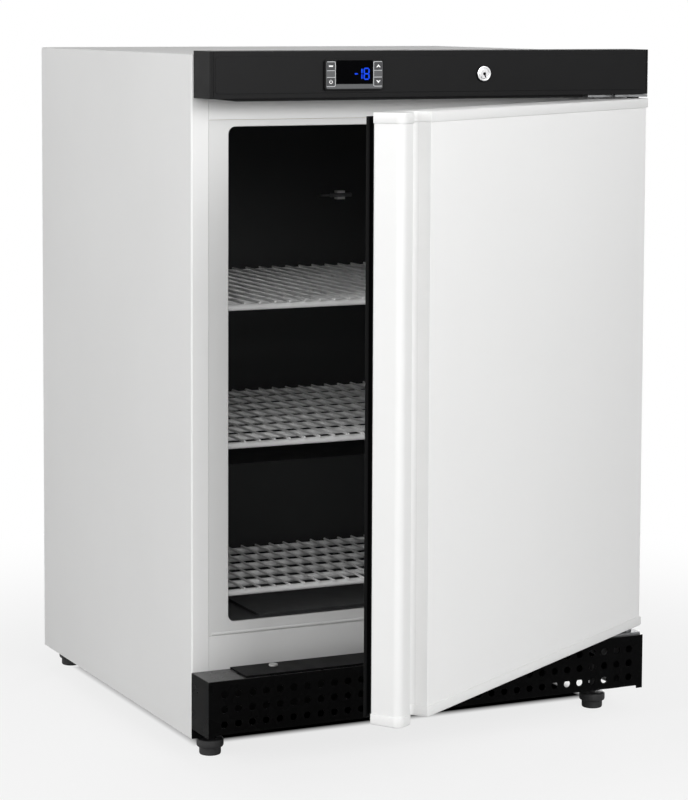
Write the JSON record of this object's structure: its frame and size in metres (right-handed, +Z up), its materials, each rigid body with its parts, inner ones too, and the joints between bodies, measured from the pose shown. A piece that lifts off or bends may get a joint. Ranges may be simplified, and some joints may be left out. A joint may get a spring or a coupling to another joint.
{
  "type": "undercounter freezer",
  "caption": "Undercounter freezer with evaporator shelves, a lockable controller fascia, a perforated plinth and a right-hand hinged door with a full-height grip, standing ajar.",
  "frame": {"origin": "on the floor, under the centre of the part's box with the door ajar as in the picture", "axes": "+X to the right as seen from the front, +Y from the front to the back, +Z up"},
  "size_m": [0.6038, 0.9044, 0.85],
  "materials": {
    "cabinet_white": "satin",
    "front_white": "satin",
    "door_white": "satin",
    "cap_white": "satin",
    "pan_white": "gloss",
    "plug_white": "matte",
    "liner_grey": "satin",
    "foam": "matte",
    "zinc_sheet": "satin",
    "zinc_parts": "satin",
    "plinth_black": "matte",
    "fascia_black": "satin",
    "bezel_grey": "satin",
    "window_dark": "gloss",
    "digits_blue": "gloss",
    "key_grey": "satin",
    "lock_chrome": "polished",
    "evaporator_white": "satin",
    "probe_grey": "satin",
    "compressor_black": "satin",
    "grommet_rubber": "matte",
    "relay_black": "matte",
    "copper": "satin",
    "cable_grey": "matte",
    "foot_dark": "satin",
    "gasket_dark": "matte",
    "bush_black": "satin"
  },
  "bodies": {
    "cabinet": {"outer_shell": "cabinet_white", "upper_front_rail": "front_white", "lower_front_rail": "front_white", "liner": "liner_grey", "foam_insulation": "foam", "back_panel": "zinc_sheet", "bottom_panel": "zinc_sheet", "compressor_deck": "zinc_sheet", "plinth_grille": "plinth_black", "plinth_cover": "plinth_black", "plinth_plug": "plug_white", "fascia": "fascia_black", "controller_body": "fascia_black", "controller_bezel": "bezel_grey", "display_window": "window_dark", "display_digits": "digits_blue", "lock_body": "lock_chrome", "lock_nut": "zinc_parts", "evaporator_shelf_top": "evaporator_white", "evaporator_shelf_middle": "evaporator_white", "evaporator_shelf_bottom": "evaporator_white", "evaporator_links": "evaporator_white", "shelf_holders": "plug_white", "temperature_probe": "probe_grey", "probe_clip": "plug_white", "compressor": "compressor_black", "compressor_grommets": "grommet_rubber", "compressor_bolts": "zinc_parts", "relay_cover": "relay_black", "condenser": "compressor_black", "condenser_brackets": "relay_black", "filter_drier": "copper", "discharge_tube": "copper", "suction_tube": "copper", "capillary_tube": "copper", "terminal_box": "relay_black", "control_cable": "cable_grey", "top_hinge_bracket": "zinc_parts", "bottom_hinge_bracket": "zinc_parts", "hinge_pins": "zinc_parts", "hinge_screws": "zinc_parts", "foot_nuts": "zinc_parts"},
    "door": {"door_skin": "door_white", "door_grip": "door_white", "door_foam": "foam", "door_inner_pan": "pan_white", "door_top_cap": "cap_white", "door_bottom_cap": "cap_white", "door_gasket": "gasket_dark", "hinge_bushes": "bush_black"},
    "lock": {"lock_barrel": "lock_chrome", "lock_cam": "zinc_parts"},
    "key_ul": {"key_upper_left": "key_grey"},
    "key_ll": {"key_lower_left": "key_grey"},
    "key_ur": {"key_upper_right": "key_grey"},
    "key_lr": {"key_lower_right": "key_grey"},
    "foot_fl": {"foot_front_left": "foot_dark"},
    "foot_fr": {"foot_front_right": "foot_dark"},
    "foot_rl": {"foot_rear_left": "foot_dark"},
    "foot_rr": {"foot_rear_right": "foot_dark"}
  },
  "joints": [
    {"name": "door_hinge", "type": "hinge", "parent": "cabinet", "child": "door", "pos_m": [0.2825, -0.13405, 0.116], "axis": [0, 0, 1], "range_deg": [-32.3, 82.7]},
    {"name": "lock_turn", "type": "hinge", "parent": "cabinet", "child": "lock", "pos_m": [0.0618, -0.12105, 0.82155], "axis": [0, 1, 0], "range_deg": [0, 90]},
    {"name": "key_upper_left_press", "type": "slide", "parent": "cabinet", "child": "key_ul", "axis": [0, 1, 0], "range_m": [0, 0.0008], "stiffness_N_per_m": 600},
    {"name": "key_lower_left_press", "type": "slide", "parent": "cabinet", "child": "key_ll", "axis": [0, 1, 0], "range_m": [0, 0.0008], "stiffness_N_per_m": 600},
    {"name": "key_upper_right_press", "type": "slide", "parent": "cabinet", "child": "key_ur", "axis": [0, 1, 0], "range_m": [0, 0.0008], "stiffness_N_per_m": 600},
    {"name": "key_lower_right_press", "type": "slide", "parent": "cabinet", "child": "key_lr", "axis": [0, 1, 0], "range_m": [0, 0.0008], "stiffness_N_per_m": 600},
    {"name": "foot_front_left_turn", "type": "hinge", "parent": "cabinet", "child": "foot_fl", "pos_m": [-0.268, -0.07705, 0.045], "axis": [0, 0, 1], "continuous": true},
    {"name": "foot_front_right_turn", "type": "hinge", "parent": "cabinet", "child": "foot_fr", "pos_m": [0.268, -0.07705, 0.045], "axis": [0, 0, 1], "continuous": true},
    {"name": "foot_rear_left_turn", "type": "hinge", "parent": "cabinet", "child": "foot_rl", "pos_m": [-0.268, 0.41495, 0.045], "axis": [0, 0, 1], "continuous": true},
    {"name": "foot_rear_right_turn", "type": "hinge", "parent": "cabinet", "child": "foot_rr", "pos_m": [0.268, 0.41495, 0.045], "axis": [0, 0, 1], "continuous": true}
  ]
}
